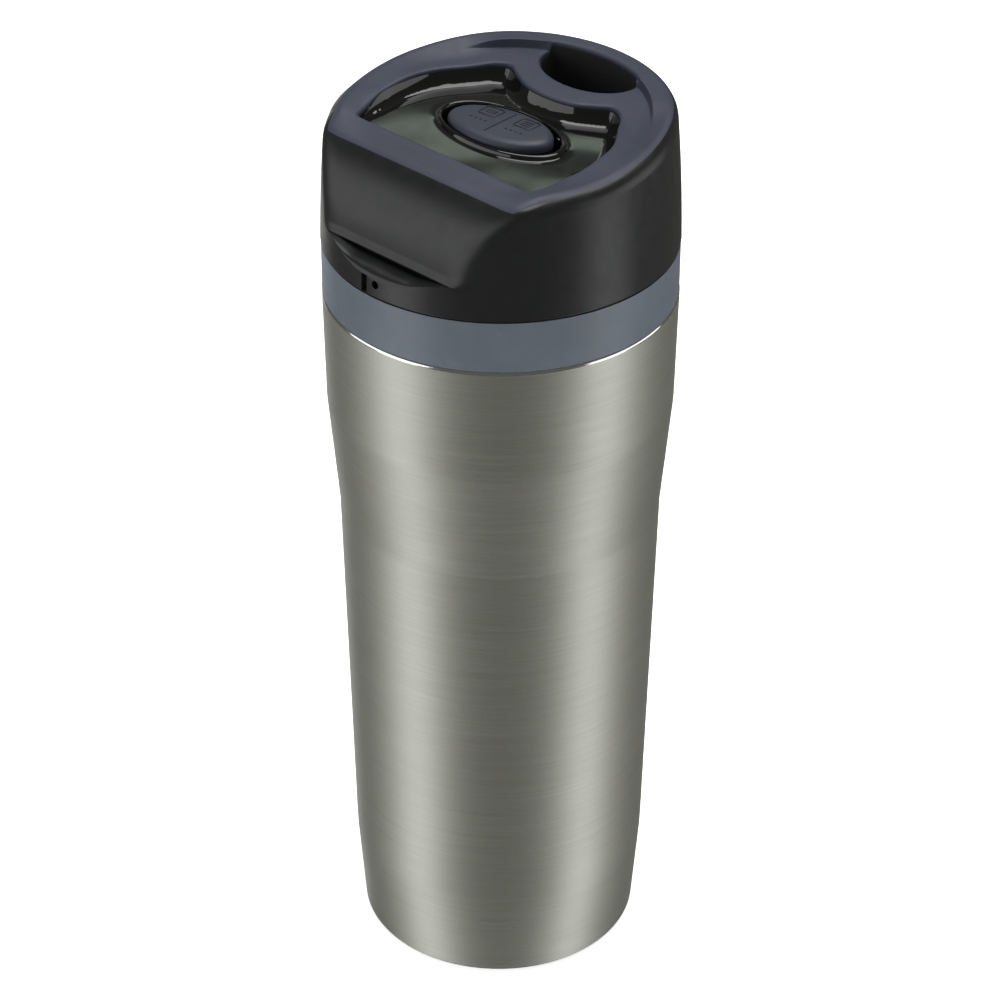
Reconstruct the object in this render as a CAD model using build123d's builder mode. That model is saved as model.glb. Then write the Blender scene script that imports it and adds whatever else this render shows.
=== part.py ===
"""Insulated travel mug: a double-wall steel body with a screwed push-button lid.

Millimetres. The origin is the centre of the base, +Z is up, and +Y points towards the
drink hole. The lid is screwed home and its valve is closed.
"""
from build123d import *
from math import copysign, cos, radians, sin
import os

os.makedirs("parts", exist_ok=True)
BASE = (Align.CENTER, Align.CENTER, Align.MIN)

# Steel body
MAX_R = 37.5            # widest radius, at the steel rim and at the lid's lower edge
STEEL_TOP = 163.5       # top edge of the steel shell
SHELL_WALL = 0.8
LINER_WALL = 0.6
PAD_HEIGHT = 0.9
HEEL_R = 31.0
HEEL_ROUND = SHELL_WALL
TAPER = (32.6, 22.0)    # radius and height where the lower taper ends
WAIST = (34.75, 111.5)  # sharp break under the wider grip
GRIP = (37.0, 137.0)
LINER_FLOOR = 8.0
LINER_TOP = 158.0
LINER_FOOT_R = 28.4
NECK_R = 31.2           # bore of the liner's neck

# Collar and screw thread
COLLAR_FOOT = 159.4
COLLAR_TOP = 174.9
COLLAR_BORE_R = 31.5
COLLAR_THREAD_R = 30.5
CORE_R = 30.0
CORE_THREAD_R = 31.1
THREAD_LEAD = 12.0
THREAD_STARTS = 3
THREAD_HEIGHT = 1.6
THREAD_ROOT = 0.3       # how far a rib is sunk in its wall
CORE_THREAD_FOOT = 164.0
COLLAR_THREAD_FOOT = 162.0  # half a rib pitch below the core's, so the ribs pass midway
GASKET_R = 34.2
GASKET_SEAT = 174.0

# Lid
LID_BOTTOM = 175.2
LID_TOP_R = 36.1        # radius of the lid where its wall meets the top
LID_TOP_Z = 202.0
LID_WALL = 2.0
SKIN = 1.0              # thickness of the soft grey top
SKIN_END_Y = -24.6      # the grey top ends over the front fold
ROOF = 2.4              # grey top and black shell together
FRONT_Y = -17.3         # straight front edge of the well
DECK_Z = 198.3          # floor of the well
DECK_WALL = 1.2
PLATE = 2.0
DRINK_Y = 27.0          # centre of the ellipse that the drink hole follows
RIM_R = 31.0            # inner radius of the raised back rim
THROAT_WALL = 1.2
CORE_WALL = 2.0
CORE_FOOT = 157.0
CORE_ROOF = 182.0
FLANGE_Z = 176.0
FLANGE_TOP = 178.0
SHELF_Z = 180.5         # shelf under the lip of the scooped front
EYELET_X = 0.4          # strap hole, with a slot one pitch to its left and a bar between them
EYELET_Z = 178.1
EYELET_PITCH = 3.2
FLANGE_R = 34.6

# Rocker and valve
PIVOT_Z = 193.0
PIN_R = 1.25
PIN_FIT = 0.05
TILT = 3.0              # degrees each side of level
BUTTON = (13.3, 7.2)    # half length and half width of the button
WINDOW = (14.7, 8.0)    # half length and half width of the oval ring's opening
RING = (16.5, 9.0)
RING_TOP = 199.3
VALVE_X = 8.5
STEM_R = 2.0
STEM_FIT = 0.06
HEAD_R = 4.0
HEAD_FOOT = 190.0
HEAD_TOP = 191.4
DISC_FOOT = 154.3
DISC_TOP = 155.9
CLIP_THICK = 1.0
SEAL_FOOT = 177.6
SEAL_R = 4.2
SPRING_R = 3.2
SPRING_WIRE = 0.35      # radius of the spring's wire
HUB_R = 2.7
HUB_LENGTH = 10.0
EAR_Y = 9.6             # centre of each ear that holds the pin
EAR_THICK = 2.4
CAP_FOOT = 4.9          # underside of the button above the pivot
CAP_TOP = 7.3
FOOT_Z = -1.9           # the lever's foot below the pivot
SEAT_R = 6.5
DISC_R = 8.0
COILS = 5

# Top line of the lid, from the back over the front fold and down the scoop to its lip
TOP_LINE = [
    (42, 204.9), (26, 204.5), (9, 203.2), (-8, 201.6), (-19, 200.9), (-24.6, 198.6), (-28.2, 195.0),
    (-31.1, 189.3), (-32.5, 182.0),
]
# Right side of the well, from the front corner round the lobe to the dip by the drink hole
WELL_SIDE = [
    (24.2, FRONT_Y), (26.7, -4), (24.8, 6), (20.5, 12.5), (17.1, 16.9), (14.3, 18.1), (11.6, 16.7),
    (7, 14.3), (0, 13.3),
]
SIDE_REACH = 45.0       # side views are drawn this far to the left and run across the lid
SIDE_PLANE = Plane.YZ.offset(-SIDE_REACH)


def beside(points, distance):
    """The points moved sideways to the left of the line through them."""
    moved = []
    for i, (x, y) in enumerate(points):
        before = points[max(i - 1, 0)]
        after = points[min(i + 1, len(points) - 1)]
        along = Vector(after[0] - before[0], after[1] - before[1]).normalized()
        moved.append((x - along.Y * distance, y + along.X * distance))
    return moved


def side_view(inset=0.0):
    """Side view of the lid: its top line, the scooped front and the shelf under the lip.

    Moved in by inset, it is the side view of the hollow, whose front runs straight down.
    """
    line = beside(TOP_LINE, inset)
    with BuildLine() as outline:
        Spline(line, tangents=[(-1, 0.04), (-0.1, -1)])
        if inset:
            Polyline(line[-1], (line[-1][0], 150), (line[0][0], 150), line[0])
        else:
            Polyline(
                line[-1], (-31.6, 181.2), (-31.6, SHELF_Z), (-42, SHELF_Z), (-42, 150),
                (line[0][0], 150), line[0],
            )
    make_face(outline.edges())


def well_outline(grow=0.0):
    """Fan-shaped plan of the well, wider by grow all round."""
    right_side = beside(WELL_SIDE, -grow)
    right_side[0] = (right_side[0][0], FRONT_Y - grow)
    right_side[-1] = (0, WELL_SIDE[-1][1] + grow)
    with BuildLine() as outline:
        for hand in (1, -1):
            Spline([(hand * x, y) for x, y in right_side], tangents=[(0.3 * hand, 1), (-hand, 0)])
        Line((-right_side[0][0], FRONT_Y - grow), right_side[0])
    make_face(outline.edges())


def drink_outline(grow=0.0):
    """Plan of the drink hole: an ellipse cut off by the raised rim."""
    with Locations((0, DRINK_Y)):
        Ellipse(12.1 + grow, 7.8 + grow)
    Circle(RIM_R + grow, mode=Mode.INTERSECT)


def outlet_outline():
    """Plan of the way out of the valve chamber, under the drink hole."""
    with Locations((0, 22.8)):
        SlotOverall(15, 5)


def steel_side(inset):
    """Side line of the steel shell from heel to rim, moved in by inset."""
    return FilletPolyline(
        (HEEL_R - inset, PAD_HEIGHT + HEEL_ROUND), (TAPER[0] - inset, TAPER[1]),
        (WAIST[0] - inset, WAIST[1]), (GRIP[0] - inset, GRIP[1]), (MAX_R - inset, STEEL_TOP),
        radius=[120, 1.5, 25],
    )


def ring_of(outer_r, inner_r, low, high):
    """Plain ring about the mug's axis."""
    with Locations((0, 0, low)):
        Cylinder(outer_r, high - low, align=BASE)
        Cylinder(inner_r, high - low, align=BASE, mode=Mode.SUBTRACT)


def helical_ribs(radius, depth, low, rise):
    """Ribs of the screw thread, from radius over depth, which is negative inwards."""
    root = -copysign(THREAD_ROOT, depth)
    for start in range(THREAD_STARTS):
        with BuildLine() as spiral:
            Helix(THREAD_LEAD, rise, radius, center=(0, 0, low))
        path = spiral.edges()[0].rotate(Axis.Z, 360 / THREAD_STARTS * start)
        foot = path @ 0
        outwards = Vector(foot.X, foot.Y, 0).normalized()
        with BuildSketch(Plane(foot, x_dir=outwards, z_dir=path % 0)) as rib:
            with Locations(((depth + root) / 2, 0)):
                Rectangle(abs(depth - root), THREAD_HEIGHT)
        sweep(rib.sketch, path=path, is_frenet=True)


def lid_block(cone_inset, side_inset):
    """The lid's outer form, or the hollow inside it, as one solid."""
    reach = 32.0
    lean = (MAX_R - LID_TOP_R) / (LID_TOP_Z - LID_BOTTOM) * reach
    with BuildSketch(Plane.XZ) as half_section:
        with BuildLine():
            Polyline(
                (0, LID_BOTTOM), (MAX_R - cone_inset, LID_BOTTOM),
                (MAX_R - cone_inset - lean, LID_BOTTOM + reach), (0, LID_BOTTOM + reach), close=True,
            )
        make_face()
    revolve(half_section.sketch, axis=Axis.Z)
    with BuildSketch(SIDE_PLANE) as side:
        side_view(side_inset)
    extrude(side.sketch, amount=2 * SIDE_REACH, mode=Mode.INTERSECT)


def cut_windows(well_grow, drink_grow):
    """Cut the well's window and the drink hole through the top of the lid."""
    with BuildSketch(Plane.XY.offset(CORE_ROOF)) as well:
        well_outline(well_grow)
    with BuildSketch(Plane.XY.offset(CORE_ROOF)) as drink:
        drink_outline(drink_grow)
    extrude(well.sketch, amount=30, mode=Mode.SUBTRACT)
    extrude(drink.sketch, amount=30, mode=Mode.SUBTRACT)


# Steel shell: one spun wall with a heel turned in under the base
with BuildPart() as outer_shell:
    with BuildSketch(Plane.XZ):
        with BuildLine():
            outside = steel_side(0)
            inside = steel_side(SHELL_WALL)
            Line(outside @ 1, inside @ 1)
            heel_corner = (HEEL_R - HEEL_ROUND, PAD_HEIGHT)
            RadiusArc(outside @ 0, heel_corner, HEEL_ROUND)
            Polyline(heel_corner, (26, PAD_HEIGHT), (26, PAD_HEIGHT + SHELL_WALL), inside @ 0)
        make_face()
    revolve(axis=Axis.Z)
outer_shell.part.label = "outer_shell"

# Bottom plate of the vacuum jacket, with the dimple of its sealing point
with BuildPart() as base_plate:
    with BuildSketch(Plane.XZ):
        with BuildLine():
            Polyline(
                (0, 3.4), (4, 3.4), (5, 1.7), (28, 1.7), (28, 2.4), (5.6, 2.4), (4.6, 4.1), (0, 4.1),
                close=True,
            )
        make_face()
    revolve(axis=Axis.Z)
base_plate.part.label = "base_plate"

# Rubber pad stuck under the heel, hollowed so that it stands on its outer band
with BuildPart() as base_pad:
    Cylinder(HEEL_R - 1.4, PAD_HEIGHT, align=BASE)
    Cylinder(18, 0.4, align=BASE, mode=Mode.SUBTRACT)
    foot_edges = base_pad.edges().filter_by(GeomType.CIRCLE).group_by(Axis.Z)[0]
    fillet(foot_edges.sort_by(SortBy.RADIUS)[-1], 0.4)
base_pad.part.label = "base_pad"

# Steel liner: the cup that holds the drink, with a flange that closes the jacket
with BuildPart() as inner_liner:
    with BuildSketch(Plane.XZ):
        with BuildLine():
            flange_r = MAX_R - SHELL_WALL - 0.2
            outer_line = FilletPolyline(
                (0, LINER_FLOOR), (LINER_FOOT_R, LINER_FLOOR), (NECK_R + LINER_WALL, WAIST[1]),
                (NECK_R + LINER_WALL, LINER_TOP - LINER_WALL), (flange_r, LINER_TOP - LINER_WALL),
                radius=[6, 60, 1.2],
            )
            inner_line = FilletPolyline(
                (0, LINER_FLOOR + LINER_WALL), (LINER_FOOT_R - LINER_WALL, LINER_FLOOR + LINER_WALL),
                (NECK_R, WAIST[1]), (NECK_R, LINER_TOP), (flange_r, LINER_TOP), radius=[5.4, 60, 1.8],
            )
            Line(outer_line @ 1, inner_line @ 1)
            Line(inner_line @ 0, outer_line @ 0)
        make_face()
    revolve(axis=Axis.Z)
inner_liner.part.label = "inner_liner"

# Pellet that keeps the vacuum good, fixed on the bottom plate
with BuildPart() as getter:
    with Locations((16, 0, 2.4)):
        Cylinder(5, 1.6, align=BASE)
getter.part.label = "getter"

# Grey collar with the female thread and the seat of the lid's gasket
with BuildPart() as neck_collar:
    with BuildSketch(Plane.XZ):
        with BuildLine():
            skirt_r = MAX_R - SHELL_WALL - 0.25
            band_r = MAX_R - 0.1
            band_foot = STEEL_TOP + 0.1
            Polyline(
                (COLLAR_BORE_R, COLLAR_FOOT), (skirt_r, COLLAR_FOOT), (skirt_r, band_foot),
                (band_r, band_foot), (band_r, COLLAR_TOP), (GASKET_R + PIN_FIT * 4, COLLAR_TOP),
                (GASKET_R + PIN_FIT * 4, GASKET_SEAT), (COLLAR_BORE_R, GASKET_SEAT), close=True,
            )
        make_face()
    revolve(axis=Axis.Z)
    helical_ribs(COLLAR_BORE_R, COLLAR_THREAD_R - COLLAR_BORE_R, COLLAR_THREAD_FOOT, 9.0)
neck_collar.part.label = "neck_collar"

# Seal squeezed between the liner's flange and the collar
with BuildPart() as collar_seal:
    ring_of(36.2, 33.8, LINER_TOP, COLLAR_FOOT)
collar_seal.part.label = "collar_seal"

# Gasket on the lid's core, pressed on the collar's seat when the lid is screwed home
with BuildPart() as lid_gasket:
    ring_of(GASKET_R, COLLAR_BORE_R + 0.3, GASKET_SEAT + 0.1, FLANGE_Z - 0.02)
lid_gasket.part.label = "lid_gasket"

# Section of the grey skin along the lid, used to part the skin from the shell under it
with BuildSketch(SIDE_PLANE) as under_skin:
    side_view(SKIN)
with BuildSketch(SIDE_PLANE) as skin_section:
    side_view()
    add(under_skin.sketch_local, mode=Mode.SUBTRACT)
    with Locations((SKIN_END_Y, 220)):
        Rectangle(66, 40, align=(Align.MIN, Align.MAX), mode=Mode.INTERSECT)

# Hollow inside the lid, with room for the core's flange at its mouth
with BuildPart() as lid_hollow:
    lid_block(LID_WALL, ROOF)
    with Locations((0, 0, LID_BOTTOM)):
        Cylinder(FLANGE_R + 0.2, FLANGE_TOP + 0.1 - LID_BOTTOM, align=BASE)

# Grey soft-touch top, with the well's window and the drink hole
with BuildPart() as top_trim:
    lid_block(0, 0)
    extrude(skin_section.sketch, amount=2 * SIDE_REACH, mode=Mode.INTERSECT)
    cut_windows(0, 0)
top_trim.part.label = "top_trim"

# Black outer shell of the lid: round wall, scooped front, roof under the grey skin, strap eyelet
with BuildPart() as lid_shell:
    lid_block(0, 0)
    extrude(skin_section.sketch, amount=2 * SIDE_REACH, mode=Mode.SUBTRACT)
    add(lid_hollow.part, mode=Mode.SUBTRACT)
    cut_windows(DECK_WALL, THROAT_WALL)
    with Locations((EYELET_X - EYELET_PITCH, -MAX_R, LID_BOTTOM)):
        Box(1.6, 5.6, 8.4, mode=Mode.SUBTRACT)
    with Locations((EYELET_X, -MAX_R, EYELET_Z)):
        Cylinder(0.9, 5.6, rotation=(90, 0, 0), mode=Mode.SUBTRACT)
lid_shell.part.label = "lid_shell"


# Gloss black deck: the floor and wall of the well, the oval ring and the pin's two ears
with BuildPart() as deck:
    with BuildSketch(Plane.XY.offset(DECK_Z - PLATE)) as tray:
        well_outline(DECK_WALL - 0.1)
    extrude(tray.sketch, amount=30)
    with BuildSketch(Plane.XY.offset(DECK_Z)) as tray_inside:
        well_outline(0)
    extrude(tray_inside.sketch, amount=30, mode=Mode.SUBTRACT)
    extrude(under_skin.sketch, amount=2 * SIDE_REACH, mode=Mode.INTERSECT)
    with BuildSketch(Plane.XY.offset(DECK_Z)):
        Ellipse(*RING)
    extrude(amount=RING_TOP - DECK_Z)
    with BuildSketch(Plane.XY.offset(DECK_Z - PLATE)):
        Ellipse(*WINDOW)
    extrude(amount=10, mode=Mode.SUBTRACT)
    with BuildSketch(Plane.XY.offset(PIVOT_Z - 3)):
        with Locations((0, EAR_Y), (0, -EAR_Y)):
            Rectangle(7, EAR_THICK)
    extrude(amount=DECK_Z - PIVOT_Z + 1.5)
    with Locations((0, 0, PIVOT_Z)):
        Cylinder(PIN_R, 40, rotation=(90, 0, 0), mode=Mode.SUBTRACT)
deck.part.label = "deck"

# Throat of the drink hole: a black cup with a slot in its floor
with BuildPart() as spout_throat:
    with BuildSketch(Plane.XY.offset(CORE_ROOF)) as throat_out:
        drink_outline(THROAT_WALL - 0.1)
    extrude(throat_out.sketch, amount=30)
    with BuildSketch(Plane.XY.offset(CORE_ROOF + PLATE)) as throat_in:
        drink_outline(0)
    extrude(throat_in.sketch, amount=30, mode=Mode.SUBTRACT)
    with BuildSketch(Plane.XY.offset(CORE_ROOF)) as outlet:
        outlet_outline()
    extrude(outlet.sketch, amount=PLATE, mode=Mode.SUBTRACT)
    extrude(under_skin.sketch, amount=2 * SIDE_REACH, mode=Mode.INTERSECT)
spout_throat.part.label = "spout_throat"

# Screwed core of the lid: threaded wall, flange and the roof over the valve chamber
with BuildPart() as lid_core:
    ring_of(CORE_R, CORE_R - CORE_WALL, CORE_FOOT, CORE_ROOF - PLATE)
    with Locations((0, 0, CORE_ROOF - PLATE)):
        Cylinder(CORE_R, PLATE, align=BASE)
    ring_of(FLANGE_R, CORE_R - 1, FLANGE_Z, FLANGE_TOP)
    helical_ribs(CORE_R, CORE_THREAD_R - CORE_R, CORE_THREAD_FOOT, 5.0)
    with Locations((VALVE_X, 0, SEAL_FOOT)):
        Cylinder(SEAL_R + CORE_WALL, CORE_ROOF - SEAL_FOOT, align=BASE)
        Cylinder(SEAL_R, CORE_ROOF - PLATE - SEAL_FOOT, align=BASE, mode=Mode.SUBTRACT)
        Cylinder(STEM_R + 0.3, CORE_ROOF - SEAL_FOOT, align=BASE, mode=Mode.SUBTRACT)
    with BuildSketch(Plane.XY.offset(CORE_ROOF)) as roof_outlet:
        outlet_outline()
    extrude(roof_outlet.sketch, amount=-PLATE, mode=Mode.SUBTRACT)
lid_core.part.label = "lid_core"

with BuildPart() as stem_seal:
    with Locations((VALVE_X, 0, SEAL_FOOT)):
        Cylinder(SEAL_R, CORE_ROOF - PLATE - SEAL_FOOT, align=BASE)
        Cylinder(STEM_R + STEM_FIT, CORE_ROOF - PLATE - SEAL_FOOT, align=BASE, mode=Mode.SUBTRACT)
stem_seal.part.label = "stem_seal"

# Plate that closes the core from below and carries the valve's seat
with BuildPart() as valve_seat:
    with Locations((0, 0, CORE_FOOT)):
        Cylinder(CORE_R - CORE_WALL - PIN_FIT, PLATE, align=BASE)
    with Locations((VALVE_X, 0, CORE_FOOT)):
        Cylinder(SEAT_R, PLATE, align=BASE, mode=Mode.SUBTRACT)
valve_seat.part.label = "valve_seat"

with BuildPart() as rocker_pin:
    with Locations((0, 0, PIVOT_Z)):
        Cylinder(PIN_R, 2 * (EAR_Y + EAR_THICK / 2), rotation=(90, 0, 0))
    chamfer(rocker_pin.edges().filter_by(GeomType.CIRCLE), 0.2)
rocker_pin.part.label = "rocker_pin"

# The rocker stands at its closed tilt, with its drink side (-X) down
level = Plane(
    origin=(0, 0, PIVOT_Z), x_dir=(cos(radians(TILT)), 0, sin(radians(TILT))),
    z_dir=(-sin(radians(TILT)), 0, cos(radians(TILT))),
)

with BuildPart() as button_cap:
    with BuildSketch(level.offset(CAP_FOOT)):
        Ellipse(*BUTTON)
    extrude(amount=CAP_TOP - CAP_FOOT)
    fillet(button_cap.faces().sort_by(Axis.Z)[-1].edges(), 1.2)
button_cap.part.label = "button_cap"

# Lever under the button: hub on the pin, web up to the cap and a foot over the valve's stem
with BuildPart() as rocker_arm:
    with BuildSketch(Plane(origin=level.origin, x_dir=level.x_dir, z_dir=(0, -1, 0))):
        Circle(HUB_R)
        with Locations((0, CAP_FOOT / 2)):
            Rectangle(4, CAP_FOOT)
        with Locations((0, CAP_FOOT)):
            Rectangle(18, 1.2, align=(Align.CENTER, Align.MAX))
        with Locations((VALVE_X, FOOT_Z)):
            Rectangle(3, CAP_FOOT - FOOT_Z, align=(Align.CENTER, Align.MIN))
        Circle(PIN_R + PIN_FIT, mode=Mode.SUBTRACT)
    extrude(amount=HUB_LENGTH / 2, both=True)
rocker_arm.part.label = "rocker_arm"

# Valve: a stem through the roof, with its push head on top and a sealed disc under the seat
with BuildPart() as valve_stem:
    with Locations((VALVE_X, 0, DISC_FOOT - CLIP_THICK)):
        Cylinder(STEM_R - 0.5, CORE_FOOT - DISC_FOOT + CLIP_THICK, align=BASE)
    with Locations((VALVE_X, 0, DISC_TOP)):
        Cylinder(STEM_R, HEAD_FOOT - DISC_TOP, align=BASE)
valve_stem.part.label = "valve_stem"

with BuildPart() as stem_head:
    with Locations((VALVE_X, 0, HEAD_FOOT)):
        Cylinder(HEAD_R, HEAD_TOP - HEAD_FOOT, align=BASE)
    fillet(stem_head.edges().group_by(Axis.Z)[-1], 0.5)
stem_head.part.label = "stem_head"

with BuildPart() as valve_disc:
    with Locations((VALVE_X, 0, DISC_FOOT)):
        Cylinder(DISC_R, DISC_TOP - DISC_FOOT, align=BASE)
        Cylinder(STEM_R - 0.5, DISC_TOP - DISC_FOOT, align=BASE, mode=Mode.SUBTRACT)
valve_disc.part.label = "valve_disc"

with BuildPart() as valve_seal:
    with Locations((VALVE_X, 0, DISC_TOP)):
        Cylinder(DISC_R, 1, align=BASE)
        Cylinder(STEM_R, 1, align=BASE, mode=Mode.SUBTRACT)
    fillet(valve_seal.edges().filter_by(GeomType.CIRCLE).group_by(Axis.Z)[-1].sort_by(SortBy.RADIUS)[-1], 0.4)
valve_seal.part.label = "valve_seal"

# Push-on clip that holds the disc on the stem
with BuildPart() as stem_clip:
    with Locations((VALVE_X, 0, DISC_FOOT - CLIP_THICK)):
        Cylinder(3.2, CLIP_THICK, align=BASE)
        Cylinder(STEM_R - 0.5, CLIP_THICK, align=BASE, mode=Mode.SUBTRACT)
stem_clip.part.label = "stem_clip"

# Spring between the core's roof and the stem's head
with BuildPart() as valve_spring:
    spring_low = CORE_ROOF + SPRING_WIRE
    spring_rise = HEAD_FOOT - CORE_ROOF - 2 * SPRING_WIRE
    with BuildLine(Plane.XY):
        coil = Helix(spring_rise / COILS, spring_rise, SPRING_R, center=(VALVE_X, 0, spring_low))
    with BuildSketch(Plane(coil @ 0, z_dir=coil % 0)):
        Circle(SPRING_WIRE - 0.02)
    sweep(path=coil, is_frenet=True)
valve_spring.part.label = "valve_spring"

PIECES = [
    outer_shell, base_plate, base_pad, inner_liner, getter, neck_collar, collar_seal, lid_gasket,
    top_trim, lid_shell, deck, spout_throat, lid_core, stem_seal, valve_seat, rocker_pin, button_cap,
    rocker_arm, valve_stem, stem_head, valve_disc, valve_seal, stem_clip, valve_spring,
]
for piece in PIECES:
    export_step(piece.part, f"parts/{piece.part.label}.step")
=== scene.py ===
"""Looks of the insulated travel mug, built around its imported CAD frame. Metres, +Z up."""

import math

import bmesh
import bpy
import numpy as np
from mathutils import Matrix, Vector
from mathutils.geometry import delaunay_2d_cdt


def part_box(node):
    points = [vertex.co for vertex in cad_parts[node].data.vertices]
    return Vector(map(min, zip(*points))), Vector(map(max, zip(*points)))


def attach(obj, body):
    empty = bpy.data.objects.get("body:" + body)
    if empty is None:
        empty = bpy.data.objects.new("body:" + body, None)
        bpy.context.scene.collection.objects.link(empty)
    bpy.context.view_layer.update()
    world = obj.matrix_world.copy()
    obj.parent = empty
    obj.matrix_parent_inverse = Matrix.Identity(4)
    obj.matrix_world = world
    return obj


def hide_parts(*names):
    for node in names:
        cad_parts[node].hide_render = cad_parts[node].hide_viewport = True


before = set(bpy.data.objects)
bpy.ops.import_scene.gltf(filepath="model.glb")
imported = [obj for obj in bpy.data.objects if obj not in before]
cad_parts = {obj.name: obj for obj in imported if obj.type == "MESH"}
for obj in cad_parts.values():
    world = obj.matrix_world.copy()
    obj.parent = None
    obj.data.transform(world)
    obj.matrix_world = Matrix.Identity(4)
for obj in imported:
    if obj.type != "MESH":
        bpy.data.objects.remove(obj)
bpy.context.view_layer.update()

MM = 0.001
FULL_TURN = 2 * math.pi
AROUND = 384                       # points round the mug
CREASE = math.radians(35)          # edges sharper than this are shaded sharp
WELD = 1e-6                        # points closer than this become one
CAMERA_AZIMUTH = 43.0


# ---------------------------------------------------------------- measures, from the frame
def node_box(node):
    low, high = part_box(node)
    return np.array(low), np.array(high)


shell_low, shell_high = node_box("outer_shell")
lid_low, lid_high = node_box("lid_shell")
pin_low, pin_high = node_box("rocker_pin")

MAX_R = lid_high[0]
LID_BOTTOM = lid_low[2]
CORE_TOP = node_box("lid_core")[1][2]
PIVOT = (pin_low + pin_high) / 2

# Lid, as in the CAD model; pairs are half axes along x and y
LID_TOP_R = 36.1 * MM
LID_TOP_Z = 202.0 * MM
SKIN = 1.0 * MM                    # thickness of the grey top
FOLD_Y = -24.6 * MM                # the grey top ends here, over the front fold
FLOOR_Z = 198.3 * MM               # floor of the well
RIM_R = 31.0 * MM                  # inside of the raised rim at the back
DRINK_Y = 27.0 * MM
DRINK_HOLE = (12.1 * MM, 7.8 * MM)
RING = (16.5 * MM, 9.0 * MM)       # outside of the oval ring round the button
WINDOW = (14.7 * MM, 8.0 * MM)     # its opening
BUTTON = (13.3 * MM, 7.2 * MM)
CAP_TOP = 7.3 * MM                 # top and foot of the button above the pivot
CAP_FOOT = 4.9 * MM
TILT = math.radians(3.0)
LIP_Z = 182.0 * MM                 # lip at the foot of the scooped front

# Top line of the lid from the back to the lip, as (y, z), and the well's side, as (x, y), in mm
TOP_LINE = [
    (42, 204.9), (26, 204.5), (9, 203.2), (-8, 201.6), (-19, 200.9), (-24.6, 198.6),
    (-28.2, 195.0), (-31.1, 189.3), (-32.5, 182.0),
]
WELL_SIDE = [
    (24.2, -17.3), (26.7, -4), (24.8, 6), (20.5, 12.5), (17.1, 16.9), (14.3, 18.1), (11.6, 16.7),
    (7, 14.3), (0, 13.3),
]
CURVE_STEPS = 24                   # points from one given point to the next

# Flare of the scooped front above its lip
FLARE = 0.4 * MM
FLARE_FROM, FLARE_TO = -183.7 * MM, -182.5 * MM

# Dish of the grey top: the depths of its three parts in mm, and where along y they come and go
BACK_DISH, BACK_IN = 1.8, (-2 * MM, 16 * MM)
MIDDLE_DISH, MIDDLE_IN, MIDDLE_OUT = 0.35, (-20 * MM, -2 * MM), (2 * MM, 16 * MM)
FRONT_DISH, FRONT_Y, FRONT_OUT = 1.15, -17 * MM, (1 * MM, 9 * MM)
STEP_ENDS = (42, 60)               # degrees from the back, where the rim's step turns into a slope
STEP_BAND = (RIM_R - 0.75 * MM, RIM_R - 0.2 * MM)
SLOPE_BAND = (27.5 * MM, 35 * MM)


# ---------------------------------------------------------------- curves and loops
def smooth_curve(points, start, end):
    """Points of a smooth curve through the given points, by cubic spans, with its end directions."""
    p = np.array(points, float)
    gaps = np.linalg.norm(np.diff(p, axis=0), axis=1)
    along = np.concatenate([[0], np.cumsum(gaps)])
    slope = np.gradient(p, along, axis=0)
    slope[0] = np.array(start) / np.linalg.norm(start)
    slope[-1] = np.array(end) / np.linalg.norm(end)
    made = []
    for i, gap in enumerate(gaps):
        t = np.linspace(0, 1, CURVE_STEPS, endpoint=False)[:, None]
        made.append(
            (2 * t**3 - 3 * t**2 + 1) * p[i] + (t**3 - 2 * t**2 + t) * gap * slope[i]
            + (3 * t**2 - 2 * t**3) * p[i + 1] + (t**3 - t**2) * gap * slope[i + 1]
        )
    made.append(p[-1:])
    return np.concatenate(made)


def evenly(points, count):
    """The same open line with count evenly spaced points."""
    p = np.array(points, float)
    along = np.concatenate([[0], np.cumsum(np.linalg.norm(np.diff(p, axis=0), axis=1))])
    want = np.linspace(0, along[-1], count)
    return np.stack([np.interp(want, along, p[:, k]) for k in range(p.shape[1])], axis=1)


def outwards(loop):
    """Unit normals of an anticlockwise closed loop, pointing out of it."""
    along = np.roll(loop, -1, axis=0) - np.roll(loop, 1, axis=0)
    normal = np.stack([along[:, 1], -along[:, 0]], axis=1)
    return normal / np.linalg.norm(normal, axis=1)[:, None]


def smooth_min(a, b, k):
    """The smaller of a and b, eased where they differ by less than k."""
    h = np.clip(0.5 + 0.5 * (b - a) / k, 0, 1)
    return b * (1 - h) + a * h - k * h * (1 - h)


def smooth_step(x, low, high):
    """0 below low, 1 above high and eased in between."""
    t = np.clip((x - low) / (high - low), 0, 1)
    return t * t * (3 - 2 * t)


top_curve = smooth_curve(np.array(TOP_LINE) * MM, (-1, 0.04), (-0.1, -1))
fold_curve = top_curve[top_curve[:, 0] < -5 * MM]


def line_height(y):
    """Height of the lid's top line at y, before any dish."""
    return np.interp(y, top_curve[::-1, 0], top_curve[::-1, 1])


def scoop_depth(z):
    """How far in front of the axis the scooped front stands at height z; it flares at the lip."""
    flare = FLARE * smooth_step(-z, FLARE_FROM, FLARE_TO)
    return np.interp(z, fold_curve[::-1, 1], -fold_curve[::-1, 0]) + flare


def cone_radius(z):
    """Radius of the lid's round wall, which leans in a little faster towards the top."""
    share = np.clip((z - LID_BOTTOM) / (LID_TOP_Z - LID_BOTTOM), 0, None)
    return MAX_R - (MAX_R - LID_TOP_R) * (0.4 * share + 0.6 * share**2)


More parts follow.
